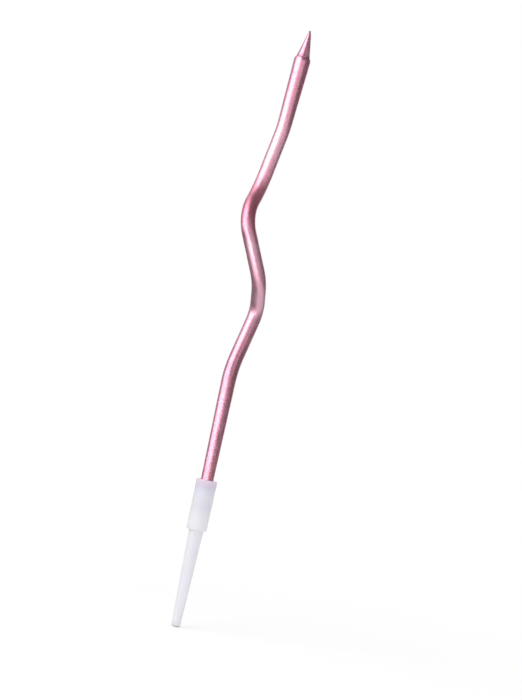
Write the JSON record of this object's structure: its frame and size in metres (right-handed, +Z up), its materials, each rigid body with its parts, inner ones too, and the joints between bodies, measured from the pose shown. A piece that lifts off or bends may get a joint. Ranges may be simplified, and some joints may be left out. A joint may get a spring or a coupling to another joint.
{
  "type": "spiral birthday candle",
  "caption": "Slim wax candle bent into an open spiral, with a metallic skin, a pointed end with its wick, and a frosted holder with a tapered spike for a cake.",
  "frame": {"origin": "centre of the shoulder under the holder's sleeve, which rests on the top of the cake", "axes": "+Z up the candle along the holder's axis, +X to the side that the upper run leans to, +Y away from the viewer"},
  "size_m": [0.0115, 0.0106, 0.1647],
  "materials": {
    "metallic_skin": "pink metallic lacquer with fine grain",
    "wax": "waxy, slightly translucent",
    "point_wax": "dipped pink wax with a dull metallic look",
    "cotton": "waxed braided cotton",
    "frosted_plastic": "frosted translucent moulding"
  },
  "bodies": {
    "holder_body": {"holder": "frosted_plastic"},
    "candle_body": {"wick": "cotton", "wax_core": "wax", "metallic_coat": "metallic_skin", "tip_cone": "point_wax"}
  },
  "joints": [
    {"name": "candle_pull", "type": "slide", "parent": "holder_body", "child": "candle_body", "axis": [0, 0, 1], "range_m": [0, 0.012]}
  ]
}
